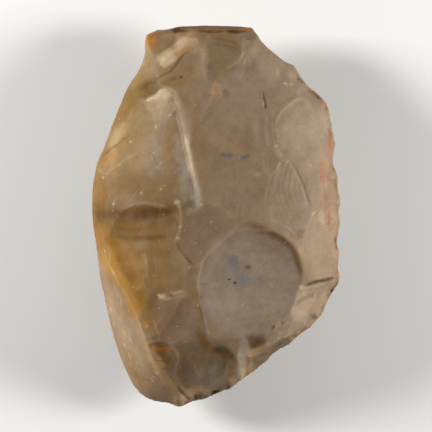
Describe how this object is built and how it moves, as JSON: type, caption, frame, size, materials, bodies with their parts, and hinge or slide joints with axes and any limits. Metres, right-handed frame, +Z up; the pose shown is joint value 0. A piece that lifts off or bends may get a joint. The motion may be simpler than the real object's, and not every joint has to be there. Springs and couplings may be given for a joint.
{
  "type": "stone hand axe",
  "caption": "Knapped flint hand axe: a thick pointed oval with flake scars, a sharp retouched edge and a blunt butt, lying on its lower face.",
  "frame": {"origin": "on the surface the stone lies on, under the middle of its bounding box", "axes": "+Z up through the thickness, away from the face it lies on; +Y along the length, towards the blunt butt; +X towards the retouched edge"},
  "size_m": [0.0782, 0.1203, 0.038],
  "materials": {
    "flint": "waxy satin, patinated"
  },
  "bodies": {
    "root": {"stone": "flint"}
  },
  "joints": []
}
